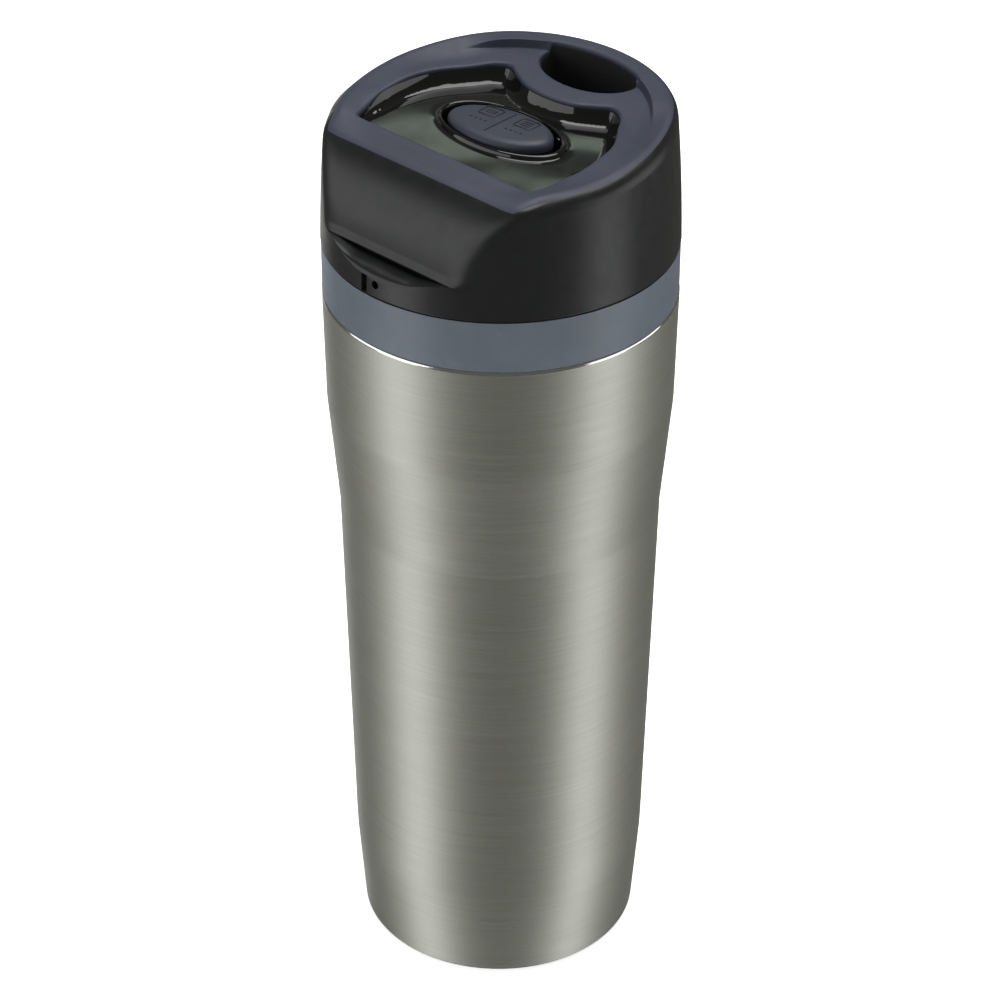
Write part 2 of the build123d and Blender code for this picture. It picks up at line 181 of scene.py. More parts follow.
def dish(x, y):
    """How far the grey top lies below the top line, round the well and behind the drink hole."""
    r = np.hypot(x, y)
    from_back = np.degrees(np.abs(np.arctan2(x, y)))
    depth = MM * (
        BACK_DISH * smooth_step(y, *BACK_IN)
        + MIDDLE_DISH * (1 - smooth_step(y, *MIDDLE_OUT)) * smooth_step(y, *MIDDLE_IN)
        + FRONT_DISH * (1 - smooth_step(np.abs(y - FRONT_Y), *FRONT_OUT))
    )
    behind = 1 - smooth_step(from_back, *STEP_ENDS)
    step = 1 - smooth_step(r, *STEP_BAND)
    slope = 1 - smooth_step(r, *SLOPE_BAND)
    return depth * (behind * step + (1 - behind) * slope)


def top_height(x, y):
    return line_height(y) - dish(x, y)


# ---------------------------------------------------------------- mesh helpers
def add_piece(name, verts, faces, material, body, slot, nodes=()):
    """A closed mesh as a piece of the object, smooth except at sharp edges."""
    mesh = bpy.data.meshes.new(name)
    mesh.from_pydata([tuple(v) for v in verts], [], [tuple(f) for f in faces])
    bm = bmesh.new()
    bm.from_mesh(mesh)
    bmesh.ops.remove_doubles(bm, verts=bm.verts, dist=WELD)
    bmesh.ops.recalc_face_normals(bm, faces=bm.faces)
    bm.to_mesh(mesh)
    bm.free()
    mesh.materials.append(material)
    mesh.shade_smooth()
    mesh.set_sharp_from_angle(angle=CREASE)
    piece = bpy.data.objects.new(name, mesh)
    bpy.context.scene.collection.objects.link(piece)
    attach(piece, body)
    if nodes:
        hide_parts(*nodes)
    return piece


def join(parts):
    """One list of points and one of faces from several pairs of them."""
    verts, faces = [], []
    for part_verts, part_faces in parts:
        base = len(verts)
        verts.extend(part_verts)
        faces.extend(tuple(base + i for i in f) for f in part_faces)
    return verts, faces


def loft(rows, close_rows=False):
    """Quads between rows of points, each row a closed loop of the same length."""
    count = len(rows[0])
    verts = np.concatenate(rows)
    faces = []
    pairs = len(rows) if close_rows else len(rows) - 1
    for i in range(pairs):
        a, b = i * count, (i + 1) % len(rows) * count
        for j in range(count):
            k = (j + 1) % count
            faces.append((a + j, a + k, b + k, b + j))
    return verts, faces


def ring_row(radius, height):
    """A row of points all round the mug, whose radius and height may vary on the way."""
    height = np.broadcast_to(height, radius.shape)
    return np.stack([radius * np.cos(angles), radius * np.sin(angles), height], axis=1)


def spin(profile):
    """Closed profile of (radius, height) spun about the mug's axis."""
    return loft([ring_row(np.full(AROUND, r), z) for r, z in profile], close_rows=True)


def rounded(points, radii, steps):
    """Closed (radius, height) profile with its corners rounded by arcs."""
    made = []
    count = len(points)
    p = np.array(points, float)
    for i in range(count):
        radius = radii[i]
        if radius == 0:
            made.append(p[i])
            continue
        a = p[i - 1] - p[i]
        b = p[(i + 1) % count] - p[i]
        a /= np.linalg.norm(a)
        b /= np.linalg.norm(b)
        half = math.acos(np.clip(np.dot(a, b), -1, 1)) / 2
        reach = radius / math.tan(half)
        middle = p[i] + (a + b) / np.linalg.norm(a + b) * radius / math.sin(half)
        first, last = p[i] + a * reach - middle, p[i] + b * reach - middle
        sweep = math.pi - 2 * half
        turn = np.sign(first[0] * last[1] - first[1] * last[0])
        for t in np.linspace(0, sweep * turn, steps + 1):
            c, s = math.cos(t), math.sin(t)
            made.append(middle + np.array([c * first[0] - s * first[1], s * first[0] + c * first[1]]))
    return made


def inside(points, loop):
    """Which points lie inside a closed loop."""
    x, y = points[:, 0], points[:, 1]
    odd = np.zeros(len(points), bool)
    for (x1, y1), (x2, y2) in zip(loop, np.roll(loop, -1, axis=0)):
        if y1 == y2:
            continue
        crosses = (y1 > y) != (y2 > y)
        odd ^= crosses & (x < (x2 - x1) * (y - y1) / (y2 - y1) + x1)
    return odd


def in_plan(points, outer, holes):
    """Which points lie inside the outer loop and in none of its holes."""
    keep = inside(points, outer)
    for hole in holes:
        keep &= ~inside(points, hole)
    return keep


def clear_runs(line, loops, gap):
    """Pieces of a line that stay inside the first loop, outside the others and clear of all."""
    keep = in_plan(line, loops[0], loops[1:])
    edge_points = np.concatenate(loops)
    for i in np.flatnonzero(keep):
        keep[i] = np.min(np.sum((edge_points - line[i]) ** 2, axis=1)) > gap**2
    runs, run = [], []
    for i, kept in enumerate(keep):
        if kept:
            run.append(line[i])
        elif run:
            runs.append(run)
            run = []
    if run:
        runs.append(run)
    return [r for r in runs if len(r) > 1]


RIDGE_GAP = 0.25 * MM              # ridges keep this far from the loops
ROW_PITCH = 0.866                  # rows of points for even triangles, by their spacing
KEEP_OFF = 0.6                     # nearest that a point comes to a loop or ridge, by spacing
MERGE = 1e-9


def flat_fill(outer, holes, spacing, ridges=()):
    """Triangles over the plan between an outer loop and its holes, with points inside.

    Ridges are open lines that the triangles follow.
    """
    loops = [outer] + list(holes)
    verts, edges = [], []
    for loop in loops:
        base = len(verts)
        verts += [Vector(p) for p in loop]
        edges += [(base + i, base + (i + 1) % len(loop)) for i in range(len(loop))]
    taken = np.concatenate(loops)
    for ridge in ridges:
        for run in clear_runs(ridge, loops, RIDGE_GAP):
            base = len(verts)
            verts += [Vector(p) for p in run]
            edges += [(base + i, base + i + 1) for i in range(len(run) - 1)]
            taken = np.concatenate([taken, np.array(run)])
    low, high = outer.min(0), outer.max(0)
    xs = np.arange(low[0], high[0], spacing)
    ys = np.arange(low[1], high[1], spacing * ROW_PITCH)
    grid = np.array([(x + spacing / 2 * (j % 2), y) for j, y in enumerate(ys) for x in xs])
    keep = in_plan(grid, outer, holes)
    for i in np.flatnonzero(keep):
        if np.min(np.sum((taken - grid[i]) ** 2, axis=1)) < (KEEP_OFF * spacing) ** 2:
            keep[i] = False
    verts += [Vector(p) for p in grid[keep]]
    made = delaunay_2d_cdt(verts, edges, [], 0, MERGE)
    points = np.array([tuple(v) for v in made[0]])
    middles = np.array([points[list(f)].mean(0) for f in made[2]])
    good = in_plan(middles, outer, holes)
    return points, [tuple(f) for f, ok in zip(made[2], good) if ok]


def ellipse(half_x, half_y, count=192):
    t = np.linspace(0, FULL_TURN, count, endpoint=False)
    return np.stack([half_x * np.cos(t), half_y * np.sin(t)], axis=1)


def at_height(loop, z):
    """The flat loop as points in space, at one height or at a height for each point."""
    heights = np.broadcast_to(np.asarray(z, float), (len(loop),))
    return np.concatenate([loop, heights[:, None]], axis=1)


# ---------------------------------------------------------------- materials
NOISE_LOW, NOISE_HIGH = 0.3, 0.7   # the noise mostly stays between these


def new_material(name, colour, rough, metallic=0.0, shine=0.5):
    made = bpy.data.materials.new(name)
    made.use_nodes = True
    shader = made.node_tree.nodes["Principled BSDF"]
    shader.inputs["Base Color"].default_value = (*colour, 1)
    shader.inputs["Roughness"].default_value = rough
    shader.inputs["Metallic"].default_value = metallic
    shader.inputs["Specular IOR Level"].default_value = shine
    return made, made.node_tree, shader


def stretched_noise(tree, scale, stretch=(1, 1, 1), detail=4.0):
    """Noise in the object's own coordinates, scale in cells a metre, stretched by axis."""
    place = tree.nodes.new("ShaderNodeTexCoord")
    mapping = tree.nodes.new("ShaderNodeMapping")
    mapping.inputs["Scale"].default_value = [scale * s for s in stretch]
    noise = tree.nodes.new("ShaderNodeTexNoise")
    noise.inputs["Scale"].default_value = 1.0
    noise.inputs["Detail"].default_value = detail
    noise.inputs["Roughness"].default_value = 0.6
    tree.links.new(place.outputs["Object"], mapping.inputs["Vector"])
    tree.links.new(mapping.outputs["Vector"], noise.inputs["Vector"])
    return noise.outputs["Fac"]


def blend_colour(tree, shader, factor, colour, darker, lighter):
    """Base colour that drifts between a darker and a lighter shade of itself."""
    ramp = tree.nodes.new("ShaderNodeValToRGB")
    dark, light = ramp.color_ramp.elements[0], ramp.color_ramp.elements[1]
    dark.position = NOISE_LOW
    dark.color = (*[c * darker for c in colour], 1)
    light.position = NOISE_HIGH
    light.color = (*[min(1, c * lighter) for c in colour], 1)
    tree.links.new(factor, ramp.inputs["Fac"])
    tree.links.new(ramp.outputs["Color"], shader.inputs["Base Color"])


def vary_roughness(tree, shader, factor, rough, either_way):
    spread = tree.nodes.new("ShaderNodeMapRange")
    spread.inputs["From Min"].default_value = NOISE_LOW
    spread.inputs["From Max"].default_value = NOISE_HIGH
    spread.inputs["To Min"].default_value = rough - either_way
    spread.inputs["To Max"].default_value = rough + either_way
    tree.links.new(factor, spread.inputs["Value"])
    tree.links.new(spread.outputs["Result"], shader.inputs["Roughness"])


def add_bump(tree, shader, factor, height):
    bump = tree.nodes.new("ShaderNodeBump")
    bump.inputs["Distance"].default_value = height
    bump.inputs["Strength"].default_value = 1.0
    tree.links.new(factor, bump.inputs["Height"])
    tree.links.new(bump.outputs["Normal"], shader.inputs["Normal"])


def moulded_plastic(
    name, colour, rough, grain=3500.0, grain_height=0.000012, spread=0.1, shine=0.4, detail=2.0,
):
    """Moulded plastic: fine spark-eroded grain and a faint unevenness of colour."""
    made, tree, shader = new_material(name, colour, rough, shine=shine)
    blend_colour(tree, shader, stretched_noise(tree, 60.0, detail=3.0), colour, 0.9, 1.1)
    vary_roughness(tree, shader, stretched_noise(tree, 300.0), rough, spread / 2)
    add_bump(tree, shader, stretched_noise(tree, grain, detail=detail), grain_height)
    return made


def brushed_steel(name, colour, rough, anisotropy=0.92):
    """Steel brushed round the mug: long fine lines across the axis."""
    made, tree, shader = new_material(name, colour, rough, metallic=1.0)
    shader.inputs["Anisotropic"].default_value = anisotropy
    tangent = tree.nodes.new("ShaderNodeTangent")
    tangent.direction_type = "RADIAL"
    tangent.axis = "Z"
    tree.links.new(tangent.outputs["Tangent"], shader.inputs["Tangent"])
    streaks = stretched_noise(tree, 1.0, (50, 50, 3600), detail=3.0)
    blend_colour(tree, shader, streaks, colour, 0.93, 1.06)
    patches = stretched_noise(tree, 1.0, (25, 25, 2600), detail=2.0)
    vary_roughness(tree, shader, patches, rough, 0.02)
    lines = stretched_noise(tree, 1.0, (30, 30, 2400), detail=1.0)
    add_bump(tree, shader, lines, 0.0000008)
    return made


def rubbery(name, colour, rough):
    """Soft matte rubber with a fine grain."""
    made, tree, shader = new_material(name, colour, rough)
    blend_colour(tree, shader, stretched_noise(tree, 400.0), colour, 0.9, 1.08)
    vary_roughness(tree, shader, stretched_noise(tree, 900.0), rough, 0.06)
    add_bump(tree, shader, stretched_noise(tree, 3000.0), 0.00001)
    return made


steel = brushed_steel("brushed_shell", (0.50, 0.505, 0.460), 0.32)
rim_steel = brushed_steel("polished_rim", (0.72, 0.72, 0.70), 0.12, anisotropy=0.2)
liner_steel = brushed_steel("liner_steel", (0.55, 0.55, 0.54), 0.28)
grey_collar = moulded_plastic("grey_collar", (0.086, 0.103, 0.129), 0.42)
grey_soft = moulded_plastic("grey_soft", (0.036, 0.042, 0.064), 0.50, shine=0.35)
black_matte = moulded_plastic("black_matte", (0.009, 0.0094, 0.0102), 0.34, shine=0.36)
black_gloss = moulded_plastic(
    "black_gloss", (0.006, 0.0066, 0.006), 0.05,
    grain=55.0, grain_height=0.00012, spread=0.02, shine=0.5, detail=0.0,
)
# Lighter and rougher than the deck's black. The lighter colour is painted light, standing in for the
# light and reflections inside the drink hole.
throat_painted_light = moulded_plastic("throat_painted_light", (0.028, 0.029, 0.029), 0.22)
core_black = moulded_plastic("core_black", (0.035, 0.035, 0.037), 0.4)
button_grey = moulded_plastic("button_grey", (0.036, 0.042, 0.060), 0.45, shine=0.35)
mark_grey = moulded_plastic("mark_grey", (0.016, 0.019, 0.024), 0.5)
silicone = rubbery("clear_silicone", (0.60, 0.60, 0.57), 0.35)
pad_rubber = rubbery("black_rubber", (0.022, 0.022, 0.023), 0.7)
pin_steel = brushed_steel("pin_steel", (0.62, 0.62, 0.62), 0.18, anisotropy=0.0)
stem_plastic = moulded_plastic("stem_white", (0.70, 0.70, 0.67), 0.3)
getter_metal = brushed_steel("getter_metal", (0.4, 0.4, 0.4), 0.5, anisotropy=0.0)

CAD_MATERIALS = {
    "neck_collar": grey_collar, "inner_liner": liner_steel, "base_plate": liner_steel,
    "base_pad": pad_rubber, "getter": getter_metal, "collar_seal": silicone,
    "lid_gasket": silicone, "lid_core": core_black, "stem_seal": silicone,
    "valve_seat": core_black, "rocker_pin": pin_steel, "rocker_arm": core_black,
    "valve_stem": stem_plastic, "stem_head": stem_plastic, "valve_disc": stem_plastic,
    "valve_seal": silicone, "stem_clip": pin_steel, "valve_spring": pin_steel,
}
for node, material in CAD_MATERIALS.items():
    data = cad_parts[node].data
    data.materials.clear()
    data.materials.append(material)


# ---------------------------------------------------------------- steel body
angles = np.linspace(0, FULL_TURN, AROUND, endpoint=False)

STEEL_WALL = 0.8 * MM
STEEL_EDGE = 0.7 * MM              # rounding and height of the polished top edge
INNER_EDGE = 0.08 * MM
HEEL_HOLE = 26 * MM


def make_steel_shell():
    """Spun outer shell with its turned-in heel; the top edge is a narrow polished band."""
    bottom, top = shell_low[2], shell_high[2]
    outer = [                      # radius, height and rounding of each corner
        (HEEL_HOLE, bottom, 0), (31.0 * MM, bottom, 0.6 * MM), (32.6 * MM, 22 * MM, 120 * MM),
        (34.75 * MM, 111.5 * MM, 1.2 * MM), (37.0 * MM, 137 * MM, 25 * MM), (MAX_R, top, STEEL_EDGE),
    ]
    inner = [(r - STEEL_WALL, z) for r, z, _ in outer[:1:-1]]
    inner += [(30.2 * MM, bottom + STEEL_WALL), (HEEL_HOLE, bottom + STEEL_WALL)]
    radii = [corner for _, _, corner in outer] + [INNER_EDGE] + [0] * (len(inner) - 1)
    profile = rounded([(r, z) for r, z, _ in outer] + inner, radii, steps=8)
    piece = add_piece("steel_shell", *spin(profile), steel, "mug", "brushed_shell", ["outer_shell"])
    piece.data.materials.append(rim_steel)
    for poly in piece.data.polygons:
        if poly.center.z > top - STEEL_EDGE:
            poly.material_index = 1


make_steel_shell()


# ---------------------------------------------------------------- black lid shell
# Angle from the scooped front, from 0 to pi, at each point round the mug
phi = np.abs((angles + math.pi / 2 + math.pi) % FULL_TURN - math.pi)
FRONT_COSINE = 0.3                 # the scoop reaches no further round than this cosine of phi
NO_CUT = 1.0                       # a distance beyond the lid
SCOOP_BLEND = 3.0 * MM             # rounding between the scooped front and the round wall
SIDE_DROP = 0.5 * MM               # how far the seam lies below the top line at the sides


def cut_distance(depth):
    """How far out a plane at the given depth before the axis lies, all round; NO_CUT elsewhere."""
    cosine = np.cos(phi)
    return np.where(cosine > FRONT_COSINE, depth / np.maximum(cosine, FRONT_COSINE), NO_CUT)


def wall_radius(z, blend):
    """Radius of the lid's outside at height z all round, where the scoop cuts the cone."""
    return smooth_min(cone_radius(z), cut_distance(scoop_depth(z)), blend)


edge_y = -LID_TOP_R * np.cos(phi)
edge_top = line_height(np.maximum(edge_y, FOLD_Y))
side_share = smooth_step(edge_y, FOLD_Y, FOLD_Y + 6 * MM)
edge_round = MM * (3.4 - 1.2 * smooth_step(np.degrees(phi), 105, 140))    # smaller at the back


def edge_inset(depth):
    """How far the rounded upper edge draws the wall in, at a depth below the top line."""
    left = np.clip(edge_round - depth, 0, edge_round)
    return side_share * (edge_round - np.sqrt(edge_round**2 - left**2))


def lid_radius(z, blend):
    return wall_radius(z, blend) - edge_inset(edge_top - z)


seam_z = edge_top - SIDE_DROP * side_share
seam_r = lid_radius(seam_z, SCOOP_BLEND)

# The finger pocket, from the lip through the undercut and out along the shelf to the round wall:
# depth before the axis and height, in mm
POCKET = [
    (32.95, 182.45), (33.0, 182.2), (32.92, 181.98), (32.7, 181.83), (32.3, 181.75),
    (31.9, 181.66), (31.6, 181.5), (31.5, 181.3), (31.6, 181.12), (31.95, 181.02),
    (32.5, 180.98), (33.3, 180.96), (34.4, 180.92), (35.1, 180.87), (35.6, 180.8), (36.0, 180.7),
    (36.4, 180.54), (36.8, 180.3), (37.3, 179.95), (38.4, 179.3),
]
LIP_DEPTH, LIP_LEVEL = 33.0, 182.2           # the lip's foremost point, in mm
POCKET_ENDS = (8 * MM, 17.8 * MM)            # across the front, where the pocket closes
POCKET_TURN = (math.radians(38), math.radians(60))   # and round the lid, where that stops
POCKET_SHUT = 0.97                           # how far it closes
SHELF_RISE = (179.3, 180.6)                  # mm: rows between these lift towards the lip
SHELF_REACH = (33.0, 34.4)                   # mm: rows between these come back to the lip
SHELF_BLEND = 0.7 * MM
WALL_ROWS = (178.8, 178.0, 177.0, 176.2, 175.6)      # mm
FOOT_ROWS = ((0.0, 0.3), (0.03, 0.15), (0.12, 0.04), (0.28, 0.0), (1.9, 0.0), (2.0, 0.1))
LEDGE_Z = 178.2 * MM                         # ledge inside the foot
LEDGE_STEP = 2.15 * MM
INNER_ROWS = ((30.2 * MM, LEDGE_Z), (30.0 * MM, 180.0 * MM))


def make_lid_shell():
    """Outer shell from the seam down the outside, through the pocket, and up again inside."""
    rows = []
    for f in np.linspace(0, 1, 60) ** 1.5:
        z = seam_z + (LIP_Z + 0.75 * MM - seam_z) * f
        rows.append(ring_row(lid_radius(z, (3.0 - 1.6 * f) * MM), z))
    closed = POCKET_SHUT * smooth_step(MAX_R * np.sin(phi), *POCKET_ENDS)
    closed *= 1 - smooth_step(phi, *POCKET_TURN)
    for depth, z in POCKET:
        lift = closed * smooth_step(z, *SHELF_RISE)
        height = (z + (LIP_LEVEL - z) * lift) * MM
        back = 1 - smooth_step(depth, *SHELF_REACH)
        depth_here = depth + (LIP_DEPTH - depth) * closed * back
        reach = cut_distance(depth_here * MM)
        rows.append(ring_row(smooth_min(cone_radius(height), reach, SHELF_BLEND), height))
    for z in WALL_ROWS:
        rows.append(ring_row(np.full(AROUND, cone_radius(z * MM)), z * MM))
    for inset, rise in FOOT_ROWS:
        rows.append(ring_row(np.full(AROUND, MAX_R - inset * MM), LID_BOTTOM + rise * MM))
    for radius, z in ((MAX_R - LEDGE_STEP, LEDGE_Z), *INNER_ROWS):
        rows.append(ring_row(np.full(AROUND, radius), z))
    for f in np.linspace(1, 0, 12):
        z = seam_z - 1.3 * MM + (LIP_Z - seam_z) * f
        inner = wall_radius(z, SCOOP_BLEND) - 2.4 * MM
        rows.append(ring_row(np.minimum(inner, 34.0 * MM), z))
    parts = loft(rows, close_rows=True)
    cut_eyelet(add_piece("lid_wall", *parts, black_matte, "lid", "black_matte", ["lid_shell"]))


def cut_eyelet(shell):
    """Strap eyelet: a slot open at the lower edge and a round hole beside it."""
    depth = 4.4 * MM
    bpy.ops.mesh.primitive_cube_add(size=1, location=(-2.8 * MM, -MAX_R, LID_BOTTOM))
    slot_cutter = bpy.context.object
    slot_cutter.scale = (1.6 * MM, depth, 8.4 * MM)
    bpy.ops.mesh.primitive_cylinder_add(
        radius=0.9 * MM, depth=depth, vertices=40, location=(0.4 * MM, -MAX_R, 178.1 * MM),
        rotation=(math.pi / 2, 0, 0),
    )
    cutters = (slot_cutter, bpy.context.object)
    for cutter in cutters:
        cut = shell.modifiers.new("cut", "BOOLEAN")
        cut.object = cutter
        cut.operation = "DIFFERENCE"
        cut.solver = "EXACT"
    bpy.context.view_layer.update()
    made = shell.evaluated_get(bpy.context.evaluated_depsgraph_get())
    result = bpy.data.meshes.new_from_object(made)
    shell.modifiers.clear()
    shell.data = result
    result.shade_smooth()
    result.set_sharp_from_angle(angle=CREASE)
    for cutter in cutters:
        bpy.data.objects.remove(cutter, do_unlink=True)


make_lid_shell()


# ---------------------------------------------------------------- grey top, well and throat
SIDE_POINTS = 130                  # along each side of the well
FRONT_POINTS = 80                  # along its straight front


def well_loop():
    """Anticlockwise plan of the well, with sharp front corners."""
    half = evenly(smooth_curve(np.array(WELL_SIDE) * MM, (0.3, 1), (-1, 0)), SIDE_POINTS)
    left = half[::-1][1:] * [-1, 1]
    front_x = np.linspace(left[-1][0], half[0][0], FRONT_POINTS)
    front = np.stack([front_x, np.full(FRONT_POINTS, half[0][1])], axis=1)[1:-1]
    return np.concatenate([half, left, front])


def moved(loop, distance):
    """The loop moved outwards, keeping the well's front corners sharp."""
    made = loop + outwards(loop) * distance
    corner_x, corner_y = np.array(WELL_SIDE[0]) * MM
    for hand in (1, -1):
        corner = np.argmin(np.hypot(loop[:, 0] - hand * corner_x, loop[:, 1] - corner_y))
        made[corner] = loop[corner] + [hand * distance, -distance]
    return made


def drink_loop():
    """Plan of the drink hole: an ellipse cut off by the raised rim, with eased corners."""
    t = np.linspace(0, FULL_TURN, 180, endpoint=False)
    way = np.stack([np.cos(t), np.sin(t)], axis=1)
    to_ellipse = 1 / np.hypot(way[:, 0] / DRINK_HOLE[0], way[:, 1] / DRINK_HOLE[1])
    along = way[:, 1] * DRINK_Y
    to_rim = -along + np.sqrt(along**2 + RIM_R**2 - DRINK_Y**2)
    reach = smooth_min(to_ellipse, to_rim, 0.9 * MM)
    return way * reach[:, None] + [0, DRINK_Y]


def round_drop(distance, radius):
    """How far a rounded edge lies below its surface at a distance from the edge."""
    u = np.clip(1 - distance / radius, 0, 1)
    return radius * (1 - np.sqrt(1 - u**2))


well = well_loop()
drink = drink_loop()
LIP_STEPS = (0.0, 0.03, 0.1, 0.22, 0.38, 0.6)        # mm from the edge of a hole
LIP_ROUND = 0.6 * MM
EDGE_STEPS = (0, 0.03, 0.08, 0.15, 0.24, 0.34, 0.46, 0.6, 0.75, 0.88, 1.0)
EDGE_REACH = 1.2 * MM              # least width of the rows along the outer edge
GROOVE_RADII = (29.7, 30.0, 30.15, 30.3, 30.45, 30.6, 30.75, 30.9, 31.05, 31.3)     # mm
GROOVE_ARC = np.radians(np.linspace(28, 152, 260))


def make_top_trim():
    """Grey top: rounded outer edge, dished face, lips round the well and the drink hole."""
    outer = ring_row(seam_r, 0.0)[:, :2]
    inward = -outwards(outer)
    drop = np.clip(top_height(outer[:, 0], outer[:, 1]) - seam_z, 0, edge_round)
    arc_reach = np.sqrt(edge_round**2 - (edge_round - drop) ** 2)
    reach = np.maximum(arc_reach, EDGE_REACH)
    edge_rows = []
    for share in EDGE_STEPS:
        loop = outer + inward * (reach * share)[:, None]
        left = np.clip(arc_reach - reach * share, 0, None)
        sunk = edge_round - np.sqrt(edge_round**2 - left**2)
        edge_rows.append(at_height(loop, top_height(loop[:, 0], loop[:, 1]) - sunk))
    edge_rows[0][:, 2] = seam_z
    parts = [loft(edge_rows)]
    inner_loops = []
    for loop in (well, drink):
        rows = []
        for step in LIP_STEPS:
            grown = moved(loop, step * MM) if loop is well else loop + outwards(loop) * step * MM
            z = top_height(grown[:, 0], grown[:, 1]) - round_drop(step * MM, LIP_ROUND)
            rows.append(at_height(grown, z))
        foot = rows[0].copy()
        foot[:, 2] -= SKIN - LIP_ROUND
        parts.append(loft([foot] + rows))
        inner_loops.append(rows[-1][:, :2])
    arcs = [
        np.stack([r * MM * np.cos(GROOVE_ARC), r * MM * np.sin(GROOVE_ARC)], axis=1)
        for r in GROOVE_RADII
    ]
    plan, plan_faces = flat_fill(edge_rows[-1][:, :2], inner_loops, 0.9 * MM, arcs)
    parts.append((at_height(plan, top_height(plan[:, 0], plan[:, 1])), plan_faces))

    # underside, one skin below the face and drawn in as far from the outer edge
    under_outer = outer + inward * SKIN
    under, under_faces = flat_fill(under_outer, [well, drink], 1.6 * MM)
    parts.append((at_height(under, top_height(under[:, 0], under[:, 1]) - SKIN), under_faces))
    under_row = at_height(under_outer, top_height(under_outer[:, 0], under_outer[:, 1]) - SKIN)
    parts.append(loft([under_row, edge_rows[0]]))
    add_piece("grey_top", *join(parts), grey_soft, "lid", "grey_soft", ["top_trim"])


make_top_trim()


def gap_to(loop, points):
    """Distance from each point to the nearest part of a closed loop."""
    ahead = np.roll(loop, -1, axis=0) - loop
    square = np.maximum((ahead**2).sum(1), 1e-18)
    found = []
    for point in points:
        way = point - loop
        share = np.clip((way * ahead).sum(1) / square, 0, 1)
        found.append(np.min(np.hypot(*(way - ahead * share[:, None]).T)))
    return np.array(found)


# Sweep from the well's floor to its wall, in mm: at the front, and what the sides and back add
SWEEP_GROWS = (-17 * MM, -7 * MM)
SWEEP_RUN = (0.5, 1.9)
SWEEP_RISE = (0.3, 2.9)
SWEEP_POWER = 1.8


def well_floor(points):
    """Height of the well's floor, which sweeps up to its walls at the sides and the back."""
    share = smooth_step(points[:, 1], *SWEEP_GROWS)
    run = MM * (SWEEP_RUN[0] + SWEEP_RUN[1] * share)
    left = np.clip(1 - gap_to(well, points) / run, 0, None)
    return FLOOR_Z + MM * (SWEEP_RISE[0] + SWEEP_RISE[1] * share) * left**SWEEP_POWER


TRAY_EDGE = 0.9 * MM               # how far the tray reaches out under the grey top
TRAY_FOOT = FLOOR_Z - 2.0 * MM
WALL_GROW = -0.16                  # mm that the well's wall stands in from the grey edge
SWEEP_INSETS = (-0.16, -0.22, -0.3, -0.42, -0.58, -0.78, -1.0)       # mm, at the wall's foot
# Across the ring: share of the way from its outside to the opening, and height in mm
RING_PROFILE = [
    (-1.1, 0.0), (-0.6, 0.0), (-0.25, 0.02), (-0.1, 0.06), (0.02, 0.16), (0.12, 0.36),
    (0.22, 0.62), (0.34, 0.84), (0.48, 0.96), (0.64, 1.0), (0.78, 0.95), (0.9, 0.78),
    (0.96, 0.5), (1.0, 0.0), (1.0, -2.0),
]


def make_deck():
    """Gloss black tray of the well with its oval ring."""
    top = top_height(well[:, 0], well[:, 1]) - SKIN
    tray_loop = moved(well, TRAY_EDGE)
    rows = [at_height(tray_loop, top), at_height(moved(well, -0.12 * MM), top - 0.05 * MM)]
    wall_loop = moved(well, WALL_GROW * MM)
    foot = well_floor(wall_loop)
    for share in (0.3, 0.6, 0.85):
        rows.append(at_height(wall_loop, top + (foot - top) * share))
    for grow in SWEEP_INSETS:
        loop = moved(well, grow * MM)
        rows.append(at_height(loop, well_floor(loop)))
    ring_rows = []
    for share, lift in RING_PROFILE:
        half_x = RING[0] + (WINDOW[0] - RING[0]) * share
        half_y = RING[1] + (WINDOW[1] - RING[1]) * share
        ring_rows.append(at_height(ellipse(half_x, half_y), FLOOR_Z + lift * MM))
    ring_rows[0][:, 2] = well_floor(ring_rows[0][:, :2])
    floor, floor_faces = flat_fill(rows[-1][:, :2], [ring_rows[0][:, :2]], 0.6 * MM)
    under, under_faces = flat_fill(tray_loop, [ellipse(*WINDOW)], 2.0 * MM)
    parts = [
        loft(rows), (at_height(floor, well_floor(floor)), floor_faces), loft(ring_rows),
        (at_height(under, TRAY_FOOT), under_faces),
        loft([at_height(tray_loop, TRAY_FOOT), rows[0]]),
    ]
    add_piece("well_deck", *join(parts), black_gloss, "lid", "black_gloss", ["deck"])


make_deck()

THROAT_INSETS = ((-0.82, 1.0), (-0.95, 0.5), (-1.3, 0.12), (-1.9, 0.0))      # and lift, in mm
THROAT_SLOT = (5.0 * MM, 2.5 * MM)           # half its straight length, and its end radius
THROAT_SLOT_Y = 22.8 * MM


